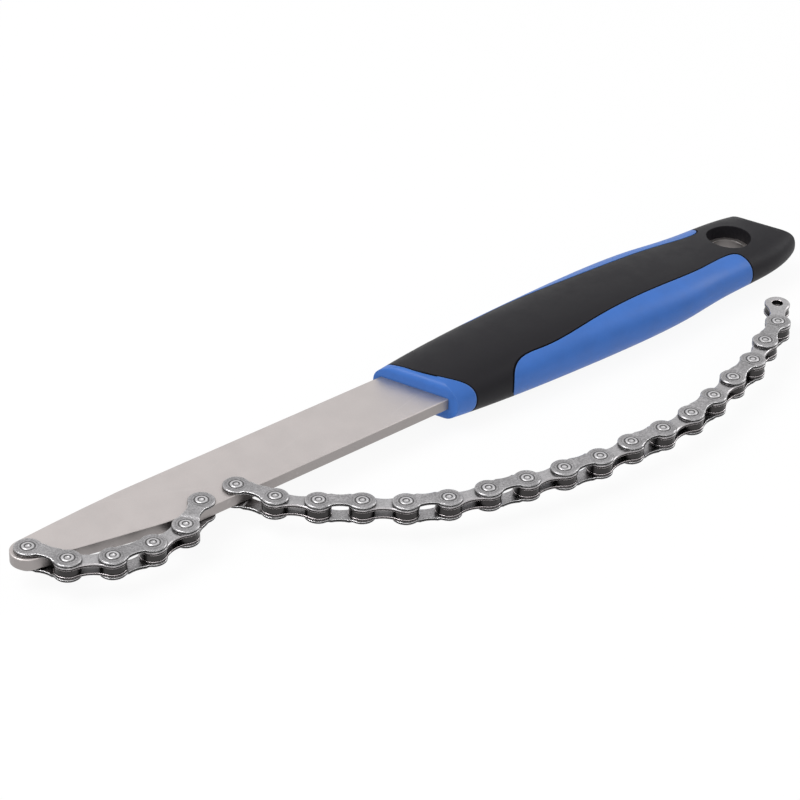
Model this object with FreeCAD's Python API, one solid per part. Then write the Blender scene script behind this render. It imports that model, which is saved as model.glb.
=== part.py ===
import FreeCAD, Part
import os
from math import asin, atan2, cos, degrees, radians, sin, sqrt, tan

# Chain whip: a flat steel bar in a two-colour grip, with a short chain looped along its nose
# and a long chain hanging free. Millimetres, +Z is normal to the bar, the nose points to -X.
# The origin is the centre of the hanging hole, on the middle plane of the bar.

Vector = FreeCAD.Vector

# Chain, half-inch pitch
PITCH = 12.7
INNER_GAP = 2.2
PLATE_T = 0.9
SIDE_CLEAR = 0.08
RUN_CLEAR = 0.05
PIN_R = 1.8
COLLAR_T = 0.6
ROLLER_R = 3.87
OUTER_END_R = 4.1
OUTER_WAIST = 2.3
OUTER_BULGE = 0.25
OUTER_FLAT = 0.78
INNER_END_R = 4.1
INNER_WAIST = 2.45
PLATE_BEVEL = 0.25
HEAD_R = 2.0
HEAD_TOP_R = 1.65
HEAD_H = 0.2
DIMPLE_R = 1.25
DIMPLE_DEPTH = 0.45
COLLAR_GAP = 0.3

# Steel bar
BAR_W = 22.8
BAR_CLEAR = 0.15
BAR_BEVEL = 0.25
NOSE_REACH = 277.8
NOSE_R = 5.3
NOSE_OFFSET = 3.9
NOSE_TAPER = 37.0
HOLD_PITCHES = 4.1
HOLD_EDGE = 3.1
HOLD_STRAIGHT = 4.65
EDGE_LEAN = 1.5
OPEN_PIVOT_CLEAR = 0.3
TANG_W = 18.0
TANG_START = 125.0
HANG_R = 5.9

# Grip
GRIP_W = 36.0
GRIP_T = 19.2
GRIP_FRONT = 137.5
GRIP_TAIL = 18.0
GRIP_SLANT = 19.5
GRIP_FULL = 0.709
FRONT_ROUND = 2.6
TAIL_ROUND = 3.6
FRONT_H = 0.70
TAIL_H = 0.66
END_RAMP = 3.0
SKIN = 2.4
CORE_BITE = 1.54
CORE_STOP = 16.0
SEAM_W = 0.45
SEAM_DEPTH = 0.6
RECESS_R = 7.5

# Grip sections: place along the grip from the hanging hole as a part of GRIP_FRONT,
# half width as a part of GRIP_W / 2 and half height as a part of GRIP_T / 2
GRIP_SECTIONS = (
    (-1.10, 0.70, 0.56),
    (-0.94, 0.83, 0.78),
    (-0.72, 0.92, 0.96),
    (-0.45, 0.99, 1.00),
    (-0.22, 0.97, 0.87),
    (-0.03, 0.87, 0.72),
    (0.09, 0.78, 0.67),
    (0.16, 0.58, 0.64),
    (0.20, 0.38, 0.62),
)

# Top line of a side panel: place along the grip and distance from its middle, as above
PANEL_LINE = (
    (-0.805, 1.10),
    (-0.803, 0.90),
    (-0.78, 0.765),
    (-0.70, 0.725),
    (-0.52, 0.652),
    (-0.33, 0.578),
    (-0.16, 0.53),
    (-0.075, 0.47),
    (-0.04, 0.53),
    (-0.03, 0.75),
    (-0.026, 1.10),
)
PANEL_ENDS = (-0.72, -0.07)

# Rear line of the collar: slanted place behind the front edge and distance across
COLLAR_LINE = (
    (6.8, -1.25),
    (5.7, -0.86),
    (3.4, -0.52),
    (2.0, 0.0),
    (2.6, 0.50),
    (5.0, 0.86),
    (6.5, 1.25),
)

# Headings of the links in degrees, the short chain's from the line between its two pivots
# on the bar and the long chain's from +X. The short chain's last two links close its loop.
SHORT_HEADINGS = (-51.0135, -20.0135, 4.0865)
LONG_HEADINGS = (
    -65.7, -47.5, -39.5, -40.3, -28.9, -16.8, -14.9, -12.1, -10.3,
    -0.7, -3.2, 2.8, 12.1, 16.7, 14.8, 25.9, 25.0, 44.0,
)

# Heights above the middle plane
INNER_IN = INNER_GAP / 2
INNER_OUT = INNER_IN + PLATE_T
OUTER_IN = INNER_OUT + SIDE_CLEAR
OUTER_OUT = OUTER_IN + PLATE_T
BAR_T = 2 * (OUTER_IN - BAR_CLEAR)

# Half width of the grip's core, which bites past the deepest point of both side panels
CORE_HALF = min(across for _, across in PANEL_LINE) * GRIP_W / 2 + CORE_BITE

# Radii round a pin, from the pin outwards
BORE_R = PIN_R + RUN_CLEAR
COLLAR_R = BORE_R + COLLAR_T
ROLLER_BORE_R = COLLAR_R + RUN_CLEAR

# Pivots on the bar
NOSE = Vector(-NOSE_REACH, NOSE_OFFSET, 0)
HOLD = Vector(NOSE.x + HOLD_PITCHES * PITCH, -(BAR_W / 2 - HOLD_EDGE), 0)
LASH = HOLD + Vector(PITCH, 0, 0)


def heading(angle):
    """Unit vector in the chain's plane at an angle in degrees from +X."""
    return Vector(cos(radians(angle)), sin(radians(angle)), 0)


def angle_of(run):
    """Angle of a vector in the chain's plane, in degrees from +X."""
    return degrees(atan2(run.y, run.x))


def follow(start, headings, turn=0):
    """Pin positions of a run of links that starts at one pin, with all headings turned."""
    pins = [start]
    for angle in headings:
        pins.append(pins[-1] + heading(angle + turn) * PITCH)
    return pins


def elbow(start, end):
    """Middle pin of two links between two pins, on the side away from the bar."""
    span = end - start
    lift = sqrt(PITCH ** 2 - span.Length ** 2 / 4)
    across = Vector(span.y, -span.x, 0).normalize()
    return start + span / 2 + across * lift


def at_link(shape, start, end):
    """Move a link drawn along +X from the origin to lie from one pin to the next."""
    moved = shape.copy()
    moved.rotate(Vector(0, 0, 0), Vector(0, 0, 1), angle_of(end - start))
    moved.translate(start)
    return moved


def arc_wire(edges):
    """Closed wire from edges given in order."""
    return Part.Wire(Part.__sortEdges__([edge.toShape() for edge in edges]))


def prism(wire, low, high):
    """Solid of a flat wire at z = 0, from one height to another."""
    face = Part.Face(wire)
    face.translate(Vector(0, 0, low))
    return face.extrude(Vector(0, 0, high - low))


def disc(radius, low, high, centre=Vector(0, 0, 0)):
    """Upright cylinder between two heights."""
    return Part.makeCylinder(radius, high - low, Vector(centre.x, centre.y, low))


def mirrored(shape):
    """The shape and its image below the middle plane, as one compound."""
    return Part.makeCompound([shape, shape.mirror(Vector(0, 0, 0), Vector(0, 0, 1))])


def waisted_wire(end_r, waist):
    """Figure-of-eight outline of a link plate: two ends joined by hollow sides."""
    half = PITCH / 2
    side_r = (half ** 2 + waist ** 2 - end_r ** 2) / (2 * (end_r - waist))
    side_y = waist + side_r
    reach = end_r / (end_r + side_r)
    touch_x = half * reach
    touch_y = side_y * reach
    far_x = PITCH - touch_x
    edges = (
        Part.Arc(Vector(touch_x, touch_y, 0), Vector(-end_r, 0, 0), Vector(touch_x, -touch_y, 0)),
        Part.Arc(Vector(touch_x, -touch_y, 0), Vector(half, -waist, 0), Vector(far_x, -touch_y, 0)),
        Part.Arc(Vector(far_x, -touch_y, 0), Vector(PITCH + end_r, 0, 0), Vector(far_x, touch_y, 0)),
        Part.Arc(Vector(far_x, touch_y, 0), Vector(half, waist, 0), Vector(touch_x, touch_y, 0)),
    )
    return arc_wire(edges)


def rim_edges(shape, height):
    """Outline edges of the flat face at one height, without its holes."""
    for face in shape.Faces:
        box = face.BoundBox
        if abs(box.ZMin - height) < 1e-6 and abs(box.ZMax - height) < 1e-6:
            return face.OuterWire.Edges
    return []


def outer_plate():
    """Upper outer plate: pressed out at its waist, bevelled round the top, with two pin holes."""
    plan = prism(waisted_wire(OUTER_END_R, OUTER_WAIST), OUTER_IN - 1, OUTER_OUT + 1)
    step_out = OUTER_END_R * OUTER_FLAT
    step_in = step_out + 2 * OUTER_BULGE
    profile = []
    for z in (OUTER_IN, OUTER_OUT):
        run = [
            Vector(-OUTER_END_R - 1, 0, z),
            Vector(step_out, 0, z),
            Vector(step_in, 0, z + OUTER_BULGE),
            Vector(PITCH - step_in, 0, z + OUTER_BULGE),
            Vector(PITCH - step_out, 0, z),
            Vector(PITCH + OUTER_END_R + 1, 0, z),
        ]
        profile.append(run)
    loop = profile[0] + profile[1][::-1]
    side = Part.Face(Part.makePolygon(loop + loop[:1]))
    side.translate(Vector(0, -OUTER_END_R - 1, 0))
    strip = side.extrude(Vector(0, 2 * OUTER_END_R + 2, 0))
    plate = strip.common(plan)
    ends = [edge for edge in plate.Edges if is_end_rim(edge)]
    plate = plate.makeChamfer(PLATE_BEVEL, ends)
    for x in (0, PITCH):
        plate = plate.cut(disc(PIN_R, OUTER_IN - 1, OUTER_OUT + 1, Vector(x, 0, 0)))
    return plate


def is_end_rim(edge):
    """True for a round edge on the top of an outer plate's end."""
    box = edge.BoundBox
    flat = abs(box.ZMin - OUTER_OUT) < 1e-6 and abs(box.ZMax - OUTER_OUT) < 1e-6
    return flat and isinstance(edge.Curve, Part.Circle)


def inner_plate():
    """Upper inner plate with the two collars that carry the rollers."""
    plate = prism(waisted_wire(INNER_END_R, INNER_WAIST), INNER_IN, INNER_OUT)
    plate = plate.makeChamfer(PLATE_BEVEL, rim_edges(plate, INNER_OUT))
    for x in (0, PITCH):
        centre = Vector(x, 0, 0)
        plate = plate.fuse(disc(COLLAR_R, COLLAR_GAP / 2, INNER_IN, centre))
        plate = plate.cut(disc(BORE_R, 0, INNER_OUT, centre))
    return plate.removeSplitter()


def pin():
    """Riveted pin: plain shank, spread head and hollow centre at both ends."""
    top = OUTER_OUT + HEAD_H
    half = [
        Vector(0, 0, top - DIMPLE_DEPTH),
        Vector(DIMPLE_R, 0, top),
        Vector(HEAD_TOP_R, 0, top),
        Vector(HEAD_R, 0, OUTER_OUT),
        Vector(PIN_R, 0, OUTER_OUT),
    ]
    below = [Vector(p.x, 0, -p.z) for p in half[::-1]]
    loop = half + below
    return Part.Face(Part.makePolygon(loop + loop[:1])).revolve(Vector(0, 0, 0), Vector(0, 0, 1), 360)


def roller():
    """Plain ring that turns on the collars between the inner plates."""
    half = INNER_IN - SIDE_CLEAR
    return disc(ROLLER_R, -half, half).cut(disc(ROLLER_BORE_R, -half, half))


def write(name, shape):
    """Write one node as a STEP file."""
    shape.exportStep("parts/" + name + ".step")


def write_outer_link(name, start, end):
    """Outer link: a pair of plates and the two pins pressed into them."""
    write(name + "_plates", at_link(mirrored(outer_plate()), start, end))
    pins = [pin(), pin()]
    pins[1].translate(Vector(PITCH, 0, 0))
    write(name + "_pins", at_link(Part.makeCompound(pins), start, end))


def write_inner_link(name, start, end):
    """Inner link: a pair of collared plates and its two rollers."""
    write(name + "_plates", at_link(mirrored(inner_plate()), start, end))
    for which, centre in (("a", start), ("b", end)):
        turned = roller()
        turned.translate(centre)
        write(name + "_roller_" + which, turned)


def write_chain(name, pins):
    """Every link along a run of pins, an outer link first and inner links in between."""
    for index in range(len(pins) - 1):
        link = name + "_link" + str(index + 1)
        if index % 2 == 0:
            write_outer_link(link, pins[index], pins[index + 1])
        else:
            write_inner_link(link, pins[index], pins[index + 1])


def nose_side(corner, side):
    """Start and middle of the slightly bowed edge that leaves the round nose for a corner."""
    run = corner - NOSE
    straight = angle_of(run) - side * degrees(asin(NOSE_R / run.Length))
    outward = heading(straight + side * (90 + EDGE_LEAN))
    touch = NOSE + outward * NOSE_R
    chord = touch - corner
    radius = chord.Length ** 2 / (2 * chord.dot(outward))
    centre = touch - outward * radius
    between = (touch - centre) + (corner - centre)
    return touch, centre + between.normalize() * radius


def steel_bar():
    """Flat bar: rounded nose, long straight blade and a narrower tang to the hanging hole."""
    half = BAR_W / 2
    blade_end = -TANG_START
    tang_half = TANG_W / 2
    taper_end = Vector(NOSE.x + NOSE_TAPER, half, 0)
    corner = Vector(HOLD.x - HOLD_STRAIGHT, -half, 0)
    far_touch, far_mid = nose_side(taper_end, 1)
    near_touch, near_mid = nose_side(corner, -1)
    edges = (
        Part.Arc(taper_end, far_mid, far_touch),
        Part.Arc(far_touch, NOSE + Vector(-NOSE_R, 0, 0), near_touch),
        Part.Arc(near_touch, near_mid, corner),
        Part.LineSegment(corner, Vector(blade_end, -half, 0)),
        Part.LineSegment(Vector(blade_end, -half, 0), Vector(blade_end, half, 0)),
        Part.LineSegment(Vector(blade_end, half, 0), taper_end),
    )
    blade = prism(arc_wire(edges), -BAR_T / 2, BAR_T / 2)
    rims = rim_edges(blade, BAR_T / 2) + rim_edges(blade, -BAR_T / 2)
    outline = [edge for edge in rims if edge.BoundBox.XMin < blade_end - BAR_W]
    blade = blade.makeChamfer(BAR_BEVEL, outline)
    tang = Part.makeBox(TANG_START, TANG_W, BAR_T, Vector(-TANG_START, -tang_half, -BAR_T / 2))
    tang = tang.fuse(disc(tang_half, -BAR_T / 2, BAR_T / 2))
    bar = blade.fuse(tang).removeSplitter()
    for pivot in (NOSE, LASH):
        bar = bar.cut(disc(BORE_R, -BAR_T, BAR_T, pivot))
    bar = bar.cut(disc(PIN_R + OPEN_PIVOT_CLEAR, -BAR_T, BAR_T, HOLD))
    return bar.cut(disc(HANG_R, -BAR_T, BAR_T))


def quarter(first, corner, last):
    """Curve between two points, drawn out towards a corner by the fullness of the grip."""
    curve = Part.BezierCurve()
    curve.setPoles([first, first + (corner - first) * GRIP_FULL, last + (corner - last) * GRIP_FULL, last])
    return curve


def grip_section(station, inset):
    """Rounded section of the grip across X at one station, drawn in by an inset."""
    place, wide, high = station
    x = place * GRIP_FRONT
    side = wide * GRIP_W / 2 - inset
    top = high * GRIP_T / 2 - inset
    quarters = (
        quarter(Vector(x, side, 0), Vector(x, side, top), Vector(x, 0, top)),
        quarter(Vector(x, 0, top), Vector(x, -side, top), Vector(x, -side, 0)),
        quarter(Vector(x, -side, 0), Vector(x, -side, -top), Vector(x, 0, -top)),
        quarter(Vector(x, 0, -top), Vector(x, side, -top), Vector(x, side, 0)),
    )
    return arc_wire(quarters)


def grip_loft(inset):
    """Smooth body through all the grip's sections."""
    return Part.makeLoft([grip_section(station, inset) for station in GRIP_SECTIONS], True, False)


def slanted(shape):
    """Turn a shape drawn straight across the grip's front to the slant of its ends."""
    turned = shape.copy()
    turned.rotate(Vector(-GRIP_FRONT, 0, 0), Vector(0, 0, 1), GRIP_SLANT)
    return turned


def end_profile(inset):
    """Block with rounded ends, slanted in plan, that trims both ends of the grip."""
    front = -GRIP_FRONT + inset
    tail = -GRIP_FRONT + (GRIP_FRONT + GRIP_TAIL) * cos(radians(GRIP_SLANT)) - inset
    front_h = FRONT_H * GRIP_T / 2 - inset
    tail_h = TAIL_H * GRIP_T / 2 - inset
    return slanted(rounded_block(front, tail, front_h, tail_h))


def rounded_block(front, tail, front_h, tail_h):
    """Side profile, rounded at both ends, extruded across the grip."""
    turn = sqrt(0.5)
    f_r = FRONT_ROUND
    t_r = TAIL_ROUND
    ramp_f = front + END_RAMP * f_r
    ramp_t = tail - END_RAMP * t_r
    edges = []
    for sign in (1, -1):
        top_f = sign * front_h
        top_t = sign * tail_h
        tall = sign * GRIP_T
        edges += [
            Part.LineSegment(Vector(front, 0, 0), Vector(front, 0, top_f - sign * f_r)),
            Part.Arc(
                Vector(front, 0, top_f - sign * f_r),
                Vector(front + f_r * (1 - turn), 0, top_f - sign * f_r * (1 - turn)),
                Vector(front + f_r, 0, top_f),
            ),
            Part.LineSegment(Vector(front + f_r, 0, top_f), Vector(ramp_f, 0, tall)),
            Part.LineSegment(Vector(ramp_f, 0, tall), Vector(ramp_t, 0, tall)),
            Part.LineSegment(Vector(ramp_t, 0, tall), Vector(tail - t_r, 0, top_t)),
            Part.Arc(
                Vector(tail - t_r, 0, top_t),
                Vector(tail - t_r * (1 - turn), 0, top_t - sign * t_r * (1 - turn)),
                Vector(tail, 0, top_t - sign * t_r),
            ),
            Part.LineSegment(Vector(tail, 0, top_t - sign * t_r), Vector(tail, 0, 0)),
        ]
    face = Part.Face(arc_wire(edges))
    reach = GRIP_FRONT + GRIP_W
    face.translate(Vector(0, -reach, 0))
    return face.extrude(Vector(0, 2 * reach, 0))


def grip_envelope(inset):
    """Whole grip, both colours together."""
    return grip_loft(inset).common(end_profile(inset))


def panel_cutter(side, grow):
    """Upright prism over the place of one side panel, grown by a margin."""
    front, rear = PANEL_ENDS
    points = []
    for place, across in PANEL_LINE:
        shift = grow if place > rear else 0
        shift -= grow if place < front else 0
        x = place * GRIP_FRONT + shift
        y = side * (across * GRIP_W / 2 - grow)
        points.append(Vector(x, y, 0))
    return upright_band(points, side * GRIP_W)


def upright_band(points, outside):
    """Prism between a smooth line and a straight one beyond the grip's side."""
    line = Part.BSplineCurve()
    line.interpolate(points)
    first = points[0]
    last = points[-1]
    far_last = Vector(last.x, outside, 0)
    far_first = Vector(first.x, outside, 0)
    edges = (
        line,
        Part.LineSegment(last, far_last),
        Part.LineSegment(far_last, far_first),
        Part.LineSegment(far_first, first),
    )
    return prism(arc_wire(edges), -GRIP_T, GRIP_T)


def collar_cutter(grow):
    """Upright prism over the collar, with a rear line that sweeps back at both sides."""
    front = grow - GRIP_FRONT
    points = [Vector(front + back, across * GRIP_W / 2, 0) for back, across in COLLAR_LINE]
    line = Part.BSplineCurve()
    line.interpolate(points)
    low = Vector(-GRIP_FRONT - GRIP_T, points[0].y, 0)
    high = Vector(-GRIP_FRONT - GRIP_T, points[-1].y, 0)
    edges = (
        line,
        Part.LineSegment(points[-1], high),
        Part.LineSegment(high, low),
        Part.LineSegment(low, points[0]),
    )
    return slanted(prism(arc_wire(edges), -GRIP_T, GRIP_T))


def blue_zones(grow):
    """The three places where the grip's body shows through the over-mould."""
    zones = collar_cutter(grow)
    for side in (1, -1):
        zones = zones.fuse(panel_cutter(side, grow))
    return zones


def grip_core():
    """Flat-sided core of the body that runs under the over-mould, short of the hanging recess."""
    front = SKIN - GRIP_FRONT + CORE_HALF * tan(radians(GRIP_SLANT))
    line = [Vector(front, 0, FRONT_H * GRIP_T / 2 - SKIN)]
    for place, _, high in GRIP_SECTIONS:
        x = place * GRIP_FRONT
        if front < x < -CORE_STOP:
            line.append(Vector(x, 0, high * GRIP_T / 2 - SKIN))
    line.append(Vector(-CORE_STOP, 0, line[-1].z))
    loop = line + [Vector(point.x, 0, -point.z) for point in line[::-1]]
    face = Part.Face(Part.makePolygon(loop + loop[:1]))
    face.translate(Vector(0, -CORE_HALF, 0))
    return face.extrude(Vector(0, 2 * CORE_HALF, 0))


def grip_parts(bar):
    """Body and over-mould of the grip, with the seat of the bar and the hanging recess."""
    whole = grip_envelope(0)
    body = whole.common(blue_zones(0)).fuse(grip_core())
    recess = disc(RECESS_R, -GRIP_T, GRIP_T)
    seam = whole.cut(grip_envelope(SEAM_DEPTH)).common(blue_zones(SEAM_W))
    cover = whole.cut(body).cut(seam).cut(recess).cut(bar)
    body = body.cut(recess).cut(bar)
    return body.removeSplitter(), cover


def main():
    """Build every piece and write it."""
    os.makedirs("parts", exist_ok=True)
    bar = steel_bar()
    write("steel_bar", bar)
    body, cover = grip_parts(bar)
    write("grip_body", body)
    write("grip_cover", cover)
    short = follow(NOSE, SHORT_HEADINGS, angle_of(HOLD - NOSE))
    short += [elbow(short[-1], HOLD), HOLD]
    write_chain("short", short)
    write_chain("long", follow(LASH, LONG_HEADINGS))


main()
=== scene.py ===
import logging
import math
from dataclasses import dataclass, field
from enum import Enum
from typing import Any

import bpy
from mathutils import Matrix, Vector


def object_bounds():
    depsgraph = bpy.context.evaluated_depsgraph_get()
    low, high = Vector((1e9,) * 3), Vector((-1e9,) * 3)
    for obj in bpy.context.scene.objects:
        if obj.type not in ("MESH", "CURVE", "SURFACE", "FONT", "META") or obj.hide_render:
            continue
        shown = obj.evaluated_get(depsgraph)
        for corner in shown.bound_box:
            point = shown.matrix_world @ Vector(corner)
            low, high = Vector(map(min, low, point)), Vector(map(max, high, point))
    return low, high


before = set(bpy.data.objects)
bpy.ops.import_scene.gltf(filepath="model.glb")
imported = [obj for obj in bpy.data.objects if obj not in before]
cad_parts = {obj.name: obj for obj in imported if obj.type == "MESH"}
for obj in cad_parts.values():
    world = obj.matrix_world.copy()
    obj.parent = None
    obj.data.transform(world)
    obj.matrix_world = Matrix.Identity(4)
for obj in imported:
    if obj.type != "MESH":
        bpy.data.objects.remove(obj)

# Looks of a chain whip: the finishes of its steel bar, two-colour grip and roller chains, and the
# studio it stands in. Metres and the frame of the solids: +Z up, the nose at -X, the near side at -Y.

LOG = logging.getLogger("chain_whip")
MM = 0.001
PIN_NAMES = ("pin_a", "pin_b")
PIN_SPAN = 4.2
SHARP_ANGLE = math.radians(28)
WELD = 0.000002
NOISE_ROUGHNESS = 0.6
BEVEL_SAMPLES = 6
OPEN_AIR_SAMPLES = 8
SCRATCH_STRETCH = (0.06, 2.4, 1.0)
SCRATCH_TURNS = (1.0, -0.6)
IN_PLAN = (1.0, 1.0, 0.0)
FRAME_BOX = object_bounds()

Colour = tuple[float, float, float]


class Effect(Enum):
    """Shared shader effects, each built once as a node group."""

    GRAIN = "fine_grain"
    EDGE = "worn_edge_and_highlight"
    CORNER_SHADE = "painted_corner_shade"
    SCRATCH = "light_scratches"
    WALL_SHADE = "painted_wall_shade"
    PIN = "pin_distance"


class Piece(Enum):
    """Kinds of chain solid besides the plates, by a part of their node's name."""

    PINS = "_pins"
    ROLLER = "_roller_"


def clear(colour: Colour) -> tuple[float, float, float, float]:
    """Colour with full opacity."""
    return (colour[0], colour[1], colour[2], 1.0)


def scaled(colour: Colour, share: float) -> Colour:
    """Colour made lighter or darker by one factor."""
    return (colour[0] * share, colour[1] * share, colour[2] * share)


class Graph:
    """A node tree that is filled in by short calls."""

    def __init__(self, tree: bpy.types.NodeTree) -> None:
        """Take over a tree and empty it.

        Args:
            tree: the tree of a material, world or node group.
        """
        self.tree = tree
        self.tree.nodes.clear()

    def add(self, kind: str, inputs: dict[Any, Any] | None = None, **settings: Any) -> bpy.types.Node:
        """Add a node.

        Args:
            kind: the node's type name.
            inputs: values or sockets by input name or number.
            settings: the node's own properties.

        Returns:
            The new node.
        """
        node = self.tree.nodes.new(kind)
        for name, value in settings.items():
            setattr(node, name, value)
        for key, value in (inputs or {}).items():
            self.feed(node.inputs[key], value)
        return node

    def feed(self, socket: bpy.types.NodeSocket, value: Any) -> None:
        """Link another socket to an input, or set the input's own value."""
        if isinstance(value, bpy.types.NodeSocket):
            self.tree.links.new(value, socket)
        else:
            socket.default_value = value

    def math(self, operation: str, first: Any, second: Any = 0.0, clamp: bool = False) -> Any:
        """Result of one sum on numbers or sockets."""
        node = self.add("ShaderNodeMath", {0: first, 1: second}, operation=operation, use_clamp=clamp)
        return node.outputs[0]

    def ramp(self, value: Any, low: float, high: float, to_low: float = 0.0, to_high: float = 1.0) -> Any:
        """Value spread smoothly from one range to another."""
        inputs = {"Value": value, "From Min": low, "From Max": high, "To Min": to_low, "To Max": to_high}
        return self.add("ShaderNodeMapRange", inputs, interpolation_type="SMOOTHSTEP").outputs[0]

    def blend(self, share: Any, first: Any, second: Any) -> bpy.types.NodeSocket:
        """Mix of two colours."""
        node = self.add("ShaderNodeMix", data_type="RGBA")
        sockets = [s for s in node.inputs if s.enabled and s.type == "RGBA"]
        self.feed(node.inputs[0], share)
        self.feed(sockets[0], first)
        self.feed(sockets[1], second)
        return next(s for s in node.outputs if s.enabled and s.type == "RGBA")

    def noise(self, scale: Any, detail: float, place: Any = None) -> bpy.types.NodeSocket:
        """Noise over the surface, from 0 to 1."""
        inputs = {"Scale": scale, "Detail": detail, "Roughness": NOISE_ROUGHNESS}
        if place is None:
            place = self.add("ShaderNodeTexCoord").outputs["Object"]
        inputs["Vector"] = place
        return self.add("ShaderNodeTexNoise", inputs).outputs[0]


class Effects:
    """Builds the shared effects and places them in materials."""

    def __init__(self) -> None:
        """Build every effect once."""
        self.groups = {
            Effect.GRAIN: self.grain(),
            Effect.EDGE: self.edge(),
            Effect.CORNER_SHADE: self.corner(),
            Effect.SCRATCH: self.scratch(),
            Effect.WALL_SHADE: self.wall_shade(),
            Effect.PIN: self.pin_distance(),
        }

    def start(
        self, effect: Effect, inputs: dict[str, float], outputs: tuple[str, ...]
    ) -> tuple[Graph, Any, Any]:
        """Open a new group with its sockets.

        Args:
            effect: which effect the group is.
            inputs: default number of each input.
            outputs: names of the outputs.

        Returns:
            The group's graph, its input node's sockets and its output node's sockets.
        """
        tree = bpy.data.node_groups.new(effect.value, "ShaderNodeTree")
        for name, value in inputs.items():
            socket = tree.interface.new_socket(name, in_out="INPUT", socket_type="NodeSocketFloat")
            socket.default_value = value
        for name in outputs:
            tree.interface.new_socket(name, in_out="OUTPUT", socket_type="NodeSocketFloat")
        graph = Graph(tree)
        entry = graph.add("NodeGroupInput")
        leave = graph.add("NodeGroupOutput")
        return graph, entry.outputs, leave.inputs

    def grain(self) -> bpy.types.NodeTree:
        """Fine even grain over slower patches."""
        graph, given, made = self.start(Effect.GRAIN, {"Scale": 2000.0}, ("Fine", "Patch"))
        fine = graph.noise(given["Scale"], 3.0)
        finer = graph.noise(graph.math("MULTIPLY", given["Scale"], 3.1), 2.0)
        both = graph.math("ADD", graph.math("MULTIPLY", fine, 0.6), graph.math("MULTIPLY", finer, 0.4))
        graph.feed(made["Fine"], graph.ramp(both, 0.3, 0.7))
        patch = graph.noise(graph.math("MULTIPLY", given["Scale"], 0.06), 4.0)
        graph.feed(made["Patch"], graph.ramp(patch, 0.3, 0.7))
        return graph.tree

    def edge(self) -> bpy.types.NodeTree:
        """Mask of convex edges, for wear from handling and for a painted highlight on the rims."""
        graph, given, made = self.start(Effect.EDGE, {"Width": 0.0002, "Gain": 6.0}, ("Mask",))
        round_off = graph.add("ShaderNodeBevel", {"Radius": given["Width"]}, samples=BEVEL_SAMPLES)
        flat = graph.add("ShaderNodeNewGeometry").outputs["Normal"]
        same = graph.add("ShaderNodeVectorMath", {0: round_off.outputs[0], 1: flat}, operation="DOT_PRODUCT")
        turned = graph.math("SUBTRACT", 1.0, same.outputs["Value"])
        graph.feed(made["Mask"], graph.math("MULTIPLY", turned, given["Gain"], clamp=True))
        return graph.tree

    def corner(self) -> bpy.types.NodeTree:
        """Mask of hollows and gaps between parts, for painted shade where they fall into shadow."""
        graph, given, made = self.start(Effect.CORNER_SHADE, {"Reach": 0.002, "Power": 1.5}, ("Mask",))
        inputs = {"Distance": given["Reach"]}
        open_air = graph.add("ShaderNodeAmbientOcclusion", inputs, samples=OPEN_AIR_SAMPLES)
        closed = graph.math("SUBTRACT", 1.0, open_air.outputs["AO"], clamp=True)
        graph.feed(made["Mask"], graph.math("POWER", closed, given["Power"]))
        return graph.tree

    def scratch(self) -> bpy.types.NodeTree:
        """Mask of sparse hair-thin scratches in two directions."""
        graph, given, made = self.start(Effect.SCRATCH, {"Scale": 260.0, "Turn": 0.4}, ("Mask",))
        place = graph.add("ShaderNodeTexCoord").outputs["Object"]
        lines = []
        for share in SCRATCH_TURNS:
            angle = graph.math("MULTIPLY", given["Turn"], share)
            inputs = {"Vector": place, "Angle": angle}
            turn = graph.add("ShaderNodeVectorRotate", inputs, rotation_type="Z_AXIS")
            inputs = {0: turn.outputs[0], 1: SCRATCH_STRETCH}
            stretch = graph.add("ShaderNodeVectorMath", inputs, operation="MULTIPLY")
            hair = graph.noise(given["Scale"], 2.0, stretch.outputs[0])
            lines.append(graph.ramp(hair, 0.66, 0.72))
        graph.feed(made["Mask"], graph.math("MAXIMUM", lines[0], lines[1]))
        return graph.tree

    def wall_shade(self) -> bpy.types.NodeTree:
        """Mask of faces that stand upright, for painted shade that makes the walls darker than the flats."""
        graph, _, made = self.start(Effect.WALL_SHADE, {}, ("Mask",))
        facing = graph.add("ShaderNodeTexCoord").outputs["Normal"]
        upward = graph.math("ABSOLUTE", graph.add("ShaderNodeSeparateXYZ", {0: facing}).outputs["Z"])
        graph.feed(made["Mask"], graph.ramp(upward, 0.9, 0.3))
        return graph.tree

    def pin_distance(self) -> bpy.types.NodeTree:
        """Distance from the axis of the nearer of a link's two pins, in millimetres."""
        graph, _, made = self.start(Effect.PIN, {}, ("Distance",))
        place = graph.add("ShaderNodeTexCoord").outputs["Object"]
        reaches = []
        for name in PIN_NAMES:
            pin = graph.add("ShaderNodeAttribute", attribute_type="OBJECT", attribute_name=name)
            inputs = {0: place, 1: pin.outputs["Vector"]}
            away = graph.add("ShaderNodeVectorMath", inputs, operation="SUBTRACT")
            inputs = {0: away.outputs[0], 1: IN_PLAN}
            flat = graph.add("ShaderNodeVectorMath", inputs, operation="MULTIPLY")
            reach = graph.add("ShaderNodeVectorMath", {0: flat.outputs[0]}, operation="LENGTH")
            reaches.append(reach.outputs["Value"])
        near = graph.math("MINIMUM", reaches[0], reaches[1])
        graph.feed(made["Distance"], graph.math("DIVIDE", near, MM))
        return graph.tree

    def place(self, graph: Graph, effect: Effect, **inputs: Any) -> bpy.types.NodeOutputs:
        """Place an effect in a material.

        Args:
            graph: the material's graph.
            effect: which effect to place.
            inputs: the group's inputs by name.

        Returns:
            The placed group's outputs.
        """
        node = graph.add("ShaderNodeGroup", node_tree=self.groups[effect])
        for name, value in inputs.items():
            graph.feed(node.inputs[name], value)
        return node.outputs


def open_material(name: str) -> tuple[Graph, bpy.types.Material]:
    """New material with an empty tree."""
    material = bpy.data.materials.new(name)
    material.use_nodes = True
    return Graph(material.node_tree), material


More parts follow.
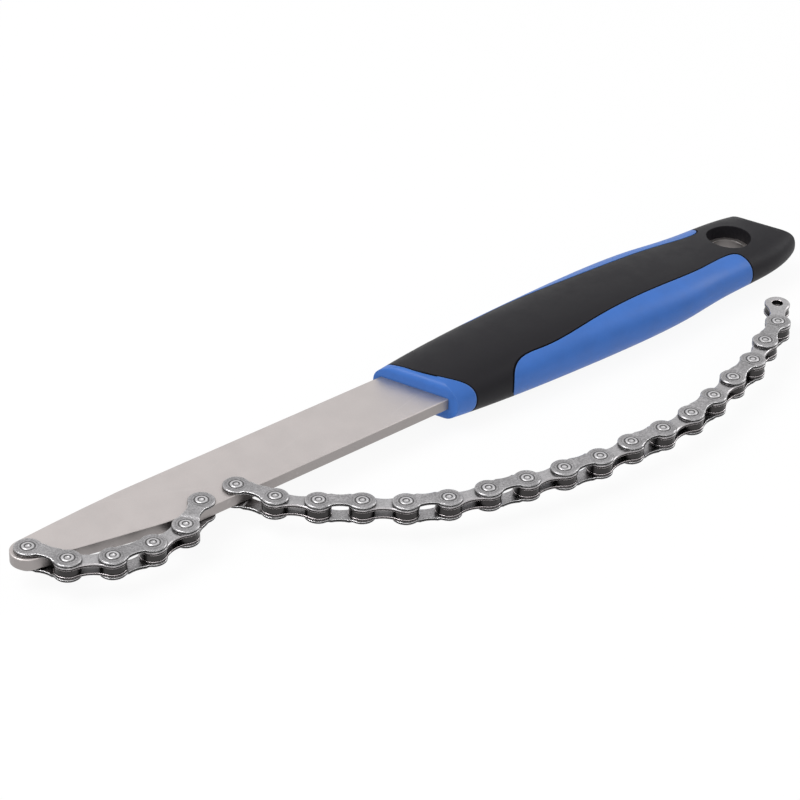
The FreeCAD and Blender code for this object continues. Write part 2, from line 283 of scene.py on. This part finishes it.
def close_material(graph: Graph, shader: bpy.types.Node) -> None:
    """Lead a shader to the material's output."""
    graph.add("ShaderNodeOutputMaterial", {"Surface": shader.outputs[0]})


@dataclass(frozen=True)
class ShadeRing:
    """Painted shade as a dark ring round a pin's axis, in millimetres."""

    radius: float
    width: float
    share: float


@dataclass(frozen=True)
class BareSteel:
    """Bare steel: grain, patches, brighter edges that are part wear and part painted highlight, painted shade
    in corners, on upright walls and round the pins, and light scratches.
    """

    name: str
    colour: Colour
    # Colour of scratches and worn edges, which also serves as a painted highlight on the rims.
    worn_and_highlight: Colour
    # Colour of the painted shade in corners and round the pins.
    painted_shade_colour: Colour
    roughness: float
    grain_scale: float
    grain_depth: float
    edge_width: float
    edge_share: float
    # Reach and strength of the painted shade in hollows and gaps.
    corner_shade_reach: float
    corner_shade_share: float
    # Painted shade: how dark the upright walls are against the flats.
    wall_shade_tone: float
    spread: float = 0.05
    scratch_share: float = 0.0
    mottle: float = 0.22
    mottle_tone: float = 0.7
    # Painted shade round the pin heads.
    shade_rings: tuple[ShadeRing, ...] = ()

    def shade_ringed(self, graph: Graph, effects: Effects, tone: Any) -> Any:
        """Lay painted shade over a tone: dark rings round the pins, where the pin heads and their dimples
        fall into shade.

        Args:
            graph: the material's graph.
            effects: the shared effects.
            tone: the colour so far.

        Returns:
            The colour with its rings.
        """
        if not self.shade_rings:
            return tone
        reach = effects.place(graph, Effect.PIN)["Distance"]
        for ring in self.shade_rings:
            off = graph.math("ABSOLUTE", graph.math("SUBTRACT", reach, ring.radius))
            mask = graph.ramp(off, ring.width / 2, 0.0)
            tone = graph.blend(graph.math("MULTIPLY", mask, ring.share), tone, clear(self.painted_shade_colour))
        return tone

    def material(self, effects: Effects) -> bpy.types.Material:
        """Build the finish.

        Args:
            effects: the shared effects.

        Returns:
            The finished material.
        """
        graph, material = open_material(self.name)
        grain = effects.place(graph, Effect.GRAIN, Scale=self.grain_scale)
        edge = effects.place(graph, Effect.EDGE, Width=self.edge_width)["Mask"]
        corner = effects.place(graph, Effect.CORNER_SHADE, Reach=self.corner_shade_reach)["Mask"]
        scratch = effects.place(graph, Effect.SCRATCH)["Mask"]
        wall_shade = effects.place(graph, Effect.WALL_SHADE)["Mask"]
        pale = clear(scaled(self.colour, 1.0 + self.spread))
        tone = graph.blend(grain["Patch"], clear(scaled(self.colour, 1.0 - self.spread)), pale)
        shade = clear(scaled(self.colour, self.mottle_tone))
        tone = graph.blend(graph.math("MULTIPLY", grain["Fine"], self.mottle), tone, shade)
        tone = self.shade_ringed(graph, effects, tone)
        # Painted shade: upright walls darker than the flats.
        tone = graph.blend(wall_shade, tone, clear(scaled(self.colour, self.wall_shade_tone)))
        # Painted shade: darker in hollows and in the gaps between parts.
        tone = graph.blend(graph.math("MULTIPLY", corner, self.corner_shade_share), tone, clear(self.painted_shade_colour))
        tone = graph.blend(graph.math("MULTIPLY", scratch, self.scratch_share), tone, clear(self.worn_and_highlight))
        # Part wear and part painted highlight: brighter convex edges.
        tone = graph.blend(graph.math("MULTIPLY", edge, self.edge_share), tone, clear(self.worn_and_highlight))
        smoothest = self.roughness - self.spread
        roughest = self.roughness + self.spread
        rough = graph.ramp(grain["Patch"], 0.0, 1.0, smoothest, roughest)
        rough = graph.math("SUBTRACT", rough, graph.math("MULTIPLY", edge, 0.08))
        rounded = graph.add("ShaderNodeBevel", {"Radius": self.edge_width}, samples=BEVEL_SAMPLES).outputs[0]
        bump = graph.add(
            "ShaderNodeBump",
            {"Height": grain["Fine"], "Normal": rounded, "Distance": self.grain_depth, "Strength": 1.0},
        )
        shader = graph.add(
            "ShaderNodeBsdfPrincipled",
            {"Base Color": tone, "Roughness": rough, "Metallic": 1.0, "Normal": bump.outputs[0]},
        )
        close_material(graph, shader)
        return material


@dataclass(frozen=True)
class Moulding:
    """Moulded plastic or rubber: fine texture, uneven sheen, lighter rounded edges as a painted highlight and
    painted shade in hollows.
    """

    name: str
    colour: Colour
    # Painted highlight colour on the rounded edges.
    rim_highlight: Colour
    roughness: float
    grain_scale: float
    grain_depth: float
    edge_width: float
    edge_share: float
    sheen: float
    specular: float = 0.5

    def material(self, effects: Effects) -> bpy.types.Material:
        """Build the finish.

        Args:
            effects: the shared effects.

        Returns:
            The finished material.
        """
        graph, material = open_material(self.name)
        grain = effects.place(graph, Effect.GRAIN, Scale=self.grain_scale)
        edge = effects.place(graph, Effect.EDGE, Width=self.edge_width, Gain=4.0)["Mask"]
        corner = effects.place(graph, Effect.CORNER_SHADE, Reach=0.0012, Power=1.2)["Mask"]
        tone = graph.blend(grain["Patch"], clear(scaled(self.colour, 0.95)), clear(scaled(self.colour, 1.05)))
        # Painted highlight: lighter rounded edges.
        tone = graph.blend(graph.math("MULTIPLY", edge, self.edge_share), tone, clear(self.rim_highlight))
        # Painted shade: darker in hollows and where the mouldings meet.
        tone = graph.blend(graph.math("MULTIPLY", corner, 0.7), tone, clear(scaled(self.colour, 0.25)))
        rough = graph.ramp(grain["Patch"], 0.0, 1.0, self.roughness - 0.03, self.roughness + 0.04)
        rounded = graph.add("ShaderNodeBevel", {"Radius": self.edge_width}, samples=BEVEL_SAMPLES).outputs[0]
        bump = graph.add(
            "ShaderNodeBump",
            {"Height": grain["Fine"], "Normal": rounded, "Distance": self.grain_depth, "Strength": 1.0},
        )
        shader = graph.add(
            "ShaderNodeBsdfPrincipled",
            {
                "Base Color": tone,
                "Roughness": rough,
                "Normal": bump.outputs[0],
                "Specular IOR Level": self.specular,
                "Sheen Weight": self.sheen,
                "Sheen Roughness": 0.5,
            },
        )
        close_material(graph, shader)
        return material


BAR_STEEL = BareSteel(
    name="satin_bar_steel",
    colour=(0.54, 0.50, 0.49),
    worn_and_highlight=(0.72, 0.69, 0.67),
    painted_shade_colour=(0.12, 0.11, 0.10),
    roughness=0.42,
    grain_scale=2600.0,
    grain_depth=0.000008,
    edge_width=0.00015,
    edge_share=0.4,
    corner_shade_reach=0.0025,
    corner_shade_share=0.55,
    wall_shade_tone=0.62,
    spread=0.02,
    scratch_share=0.08,
)
OUTER_STEEL = BareSteel(
    name="outer_plate_steel",
    colour=(0.46, 0.45, 0.46),
    worn_and_highlight=(0.90, 0.89, 0.90),
    painted_shade_colour=(0.012, 0.011, 0.011),
    roughness=0.27,
    grain_scale=1700.0,
    grain_depth=0.000012,
    edge_width=0.0003,
    edge_share=0.95,
    corner_shade_reach=0.0026,
    corner_shade_share=0.98,
    wall_shade_tone=0.08,
    spread=0.12,
    mottle=0.75,
    mottle_tone=0.25,
    # Painted shade round each pin head on the plates.
    shade_rings=(ShadeRing(2.15, 0.5, 0.95), ShadeRing(2.95, 0.35, 0.35)),
)
INNER_STEEL = BareSteel(
    name="inner_plate_steel",
    colour=(0.50, 0.49, 0.50),
    worn_and_highlight=(0.88, 0.81, 0.82),
    painted_shade_colour=(0.012, 0.011, 0.011),
    roughness=0.27,
    grain_scale=1700.0,
    grain_depth=0.000012,
    edge_width=0.0003,
    edge_share=0.9,
    corner_shade_reach=0.0034,
    corner_shade_share=0.98,
    wall_shade_tone=0.06,
    spread=0.10,
    mottle=0.6,
    mottle_tone=0.45,
)
PIN_STEEL = BareSteel(
    name="pin_steel",
    colour=(0.56, 0.55, 0.56),
    worn_and_highlight=(0.85, 0.84, 0.84),
    painted_shade_colour=(0.012, 0.012, 0.012),
    roughness=0.30,
    grain_scale=3600.0,
    grain_depth=0.00001,
    edge_width=0.0001,
    edge_share=0.5,
    corner_shade_reach=0.0008,
    corner_shade_share=0.7,
    wall_shade_tone=0.12,
    # Painted shade in each pin head's dimple and round its edge.
    shade_rings=(ShadeRing(0.95, 0.75, 0.95), ShadeRing(1.95, 0.5, 0.95)),
)
ROLLER_STEEL = BareSteel(
    name="roller_steel",
    colour=(0.20, 0.19, 0.19),
    worn_and_highlight=(0.5, 0.49, 0.49),
    painted_shade_colour=(0.012, 0.011, 0.011),
    roughness=0.34,
    grain_scale=2600.0,
    grain_depth=0.00001,
    edge_width=0.00012,
    edge_share=0.3,
    corner_shade_reach=0.003,
    corner_shade_share=0.98,
    wall_shade_tone=0.26,
)
BLUE_PLASTIC = Moulding(
    name="blue_moulded_plastic",
    colour=(0.031, 0.128, 0.435),
    rim_highlight=(0.09, 0.25, 0.66),
    roughness=0.42,
    grain_scale=2200.0,
    grain_depth=0.000006,
    edge_width=0.0005,
    edge_share=0.5,
    sheen=0.0,
    specular=0.35,
)
BLACK_RUBBER = Moulding(
    name="black_soft_rubber",
    colour=(0.010, 0.0093, 0.0115),
    rim_highlight=(0.03, 0.028, 0.032),
    roughness=0.48,
    grain_scale=2600.0,
    grain_depth=0.000014,
    edge_width=0.0004,
    edge_share=0.4,
    sheen=0.0,
    specular=0.15,
)


def smoothing() -> bpy.types.NodeTree:
    """Modifier that shades round faces smooth and keeps real edges sharp.

    Returns:
        A geometry node group that welds the faces of a solid and marks edges by their angle.
    """
    tree = bpy.data.node_groups.new("smooth_rounds", "GeometryNodeTree")
    tree.interface.new_socket("Geometry", in_out="INPUT", socket_type="NodeSocketGeometry")
    tree.interface.new_socket("Geometry", in_out="OUTPUT", socket_type="NodeSocketGeometry")
    graph = Graph(tree)
    given = graph.add("NodeGroupInput").outputs[0]
    welded = graph.add("GeometryNodeMergeByDistance", {"Geometry": given, "Distance": WELD}).outputs[0]
    inputs = {0: welded, "Shade Smooth": True}
    soft = graph.add("GeometryNodeSetShadeSmooth", inputs, domain="FACE").outputs[0]
    angle = graph.add("GeometryNodeInputMeshEdgeAngle").outputs["Unsigned Angle"]
    inputs = {0: angle, 1: SHARP_ANGLE}
    sharp = graph.add("FunctionNodeCompare", inputs, data_type="FLOAT", operation="GREATER_THAN")
    marked = graph.add(
        "GeometryNodeSetShadeSmooth",
        {0: soft, "Selection": sharp.outputs[0], "Shade Smooth": False},
        domain="EDGE",
    )
    graph.add("NodeGroupOutput", {0: marked.outputs[0]})
    return tree


@dataclass
class Dresser:
    """Gives solids their finish and smooth rounds."""

    effects: Effects
    smooth: bpy.types.NodeTree
    made: dict[str, bpy.types.Material] = field(default_factory=dict)

    def dress(self, node: str, finish: BareSteel | Moulding) -> None:
        """Dress one solid.

        Args:
            node: the solid's name.
            finish: the finish that its material is built from, once.
        """
        if finish.name not in self.made:
            self.made[finish.name] = finish.material(self.effects)
        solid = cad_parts[node]
        solid.data.materials.clear()
        solid.data.materials.append(self.made[finish.name])
        modifier = solid.modifiers.new("smooth_rounds", "NODES")
        modifier.node_group = self.smooth
        LOG.info("%s: %s", node, finish.name)


@dataclass
class Blade:
    """The flat steel bar."""

    dresser: Dresser
    node: str = "steel_bar"

    def build(self) -> None:
        """Dress the bar."""
        self.dresser.dress(self.node, BAR_STEEL)


@dataclass
class Grip:
    """The blue body and its black over-mould."""

    dresser: Dresser
    body: str = "grip_body"
    cover: str = "grip_cover"

    def build(self) -> None:
        """Dress both mouldings."""
        self.dresser.dress(self.body, BLUE_PLASTIC)
        self.dresser.dress(self.cover, BLACK_RUBBER)


@dataclass
class Chain:
    """One run of links, outer and inner in turn."""

    dresser: Dresser
    name: str
    links: int

    def finish_of(self, node: str, outer: bool) -> BareSteel:
        """Finish of one solid of a link.

        Args:
            node: the solid's name.
            outer: whether its link is an outer one.

        Returns:
            The finish for that kind of solid.
        """
        if Piece.ROLLER.value in node:
            return ROLLER_STEEL
        if node.endswith(Piece.PINS.value):
            return PIN_STEEL
        return OUTER_STEEL if outer else INNER_STEEL

    def middle(self, places: list[Vector]) -> tuple[float, float, float]:
        """Middle of a round solid in plan.

        Args:
            places: the corners of its mesh.

        Returns:
            The axis's place, on the middle plane.
        """
        xs = [place.x for place in places]
        ys = [place.y for place in places]
        return ((min(xs) + max(xs)) / 2, (min(ys) + max(ys)) / 2, 0.0)

    def mark_pins(self, link: str) -> None:
        """Note the axes of an outer link's two pins on its solids, for the painted shade round them.

        Args:
            link: the start of the solids' names.
        """
        places = [corner.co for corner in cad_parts[link + "pins"].data.vertices]
        first = [place for place in places if (place - places[0]).xy.length < PIN_SPAN * MM]
        second = [place for place in places if (place - places[0]).xy.length >= PIN_SPAN * MM]
        for solid in (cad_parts[link + "pins"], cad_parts[link + "plates"]):
            for name, group in zip(PIN_NAMES, (first, second)):
                solid[name] = self.middle(group)

    def build(self) -> None:
        """Dress every link."""
        for number in range(1, self.links + 1):
            link = f"{self.name}_link{number}_"
            if number % 2 == 1:
                self.mark_pins(link)
            for node in sorted(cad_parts):
                if node.startswith(link):
                    self.dresser.dress(node, self.finish_of(node, number % 2 == 1))


@dataclass
class Camera:
    """Camera at the photograph's place, turned as the photographer held it."""

    place: Vector = field(default_factory=lambda: Vector((-0.6518, -0.5756, 0.4997)))
    azimuth: float = 41.47
    elevation: float = 33.06
    roll: float = 1.76
    lens: float = 134.65
    sensor: float = 36.0

    def build(self) -> None:
        """Make the camera and give it to the scene."""
        data = bpy.data.cameras.new("camera")
        data.lens = self.lens
        data.sensor_width = self.sensor
        data.clip_start = 0.01
        data.clip_end = 20.0
        camera = bpy.data.objects.new("camera", data)
        bpy.context.scene.collection.objects.link(camera)
        turn = Matrix.Rotation(math.radians(-self.azimuth), 4, "Z")
        turn @= Matrix.Rotation(math.radians(90 - self.elevation), 4, "X")
        turn @= Matrix.Rotation(math.radians(self.roll), 4, "Z")
        camera.matrix_world = Matrix.Translation(self.place) @ turn
        bpy.context.scene.camera = camera
        LOG.info("camera: %.2f mm lens", self.lens)


@dataclass
class Lamp:
    """One soft panel light that faces a point on the tool."""

    name: str
    place: Vector
    size: float
    power: float
    colour: Colour = (1.0, 1.0, 1.0)

    def build(self, aim: Vector) -> None:
        """Make the lamp.

        Args:
            aim: the point that it faces.
        """
        data = bpy.data.lights.new(self.name, "AREA")
        data.shape = "SQUARE"
        data.size = self.size
        data.energy = self.power
        data.color = self.colour
        lamp = bpy.data.objects.new(self.name, data)
        bpy.context.scene.collection.objects.link(lamp)
        lamp.location = self.place
        lamp.rotation_mode = "QUATERNION"
        lamp.rotation_quaternion = (aim - self.place).to_track_quat("-Z", "Y")


@dataclass
class Studio:
    """Pale floor, white surroundings, lamps and camera."""

    floor_half: float = 4.0
    floor_colour: Colour = (0.86, 0.86, 0.86)
    floor_glow: float = 0.92
    world_colour: Colour = (1.0, 1.0, 1.0)
    world_light: float = 0.55

    def seen_directly(self, graph: Graph) -> bpy.types.NodeSocket:
        """Share of a ray that comes from the eye, from a mirror or through glass."""
        path = graph.add("ShaderNodeLightPath").outputs
        seen = graph.math("MAXIMUM", path["Is Camera Ray"], path["Is Glossy Ray"])
        return graph.math("MAXIMUM", seen, path["Is Transmission Ray"])

    def floor(self) -> None:
        """White floor under the tool's lowest point that keeps a faint shadow."""
        low = FRAME_BOX[0].z
        half = self.floor_half
        mesh = bpy.data.meshes.new("floor")
        corners = [(-half, -half, low), (half, -half, low), (half, half, low), (-half, half, low)]
        mesh.from_pydata(corners, [], [(0, 1, 2, 3)])
        floor = bpy.data.objects.new("floor", mesh)
        bpy.context.scene.collection.objects.link(floor)
        graph, material = open_material("white_floor")
        plain = graph.add("ShaderNodeBsdfDiffuse", {"Color": clear(self.floor_colour)})
        glow = graph.add("ShaderNodeEmission", {"Color": clear(self.world_colour), "Strength": 1.0})
        share = graph.math("MULTIPLY", self.seen_directly(graph), self.floor_glow)
        both = graph.add("ShaderNodeMixShader", {0: share, 1: plain.outputs[0], 2: glow.outputs[0]})
        close_material(graph, both)
        mesh.materials.append(material)
        LOG.info("floor at %.4f m", low)

    def surroundings(self) -> None:
        """World that is white to the eye and in reflections, and a plain soft light otherwise."""
        world = bpy.data.worlds.new("white_room")
        world.use_nodes = True
        bpy.context.scene.world = world
        graph = Graph(world.node_tree)
        shown = graph.add("ShaderNodeBackground", {"Color": clear(self.world_colour), "Strength": 1.0})
        inputs = {"Color": clear(self.world_colour), "Strength": self.world_light}
        light = graph.add("ShaderNodeBackground", inputs)
        share = self.seen_directly(graph)
        both = graph.add("ShaderNodeMixShader", {0: share, 1: light.outputs[0], 2: shown.outputs[0]})
        graph.add("ShaderNodeOutputWorld", {"Surface": both.outputs[0]})

    def build(self) -> None:
        """Make the whole studio."""
        self.floor()
        self.surroundings()
        aim = (FRAME_BOX[0] + FRAME_BOX[1]) / 2
        lamps = (
            Lamp("key", aim + Vector((-0.7, 0.35, 1.2)), 0.9, 14.5),
            Lamp("fill", aim + Vector((-0.6, -1.1, 0.5)), 0.9, 3.5),
            Lamp("side", aim + Vector((1.2, -0.3, 0.6)), 0.6, 4.0),
        )
        for lamp in lamps:
            lamp.build(aim)
            LOG.info("lamp: %s", lamp.name)
        Camera().build()


def main() -> None:
    """Dress the tool and set the studio."""
    logging.basicConfig(level=logging.INFO, format="%(name)s: %(message)s")
    scene = bpy.context.scene
    scene.view_settings.view_transform = "Standard"
    dresser = Dresser(Effects(), smoothing())
    Blade(dresser).build()
    Grip(dresser).build()
    Chain(dresser, "short", 5).build()
    Chain(dresser, "long", 18).build()
    Studio().build()


if __name__ == "__main__":
    main()
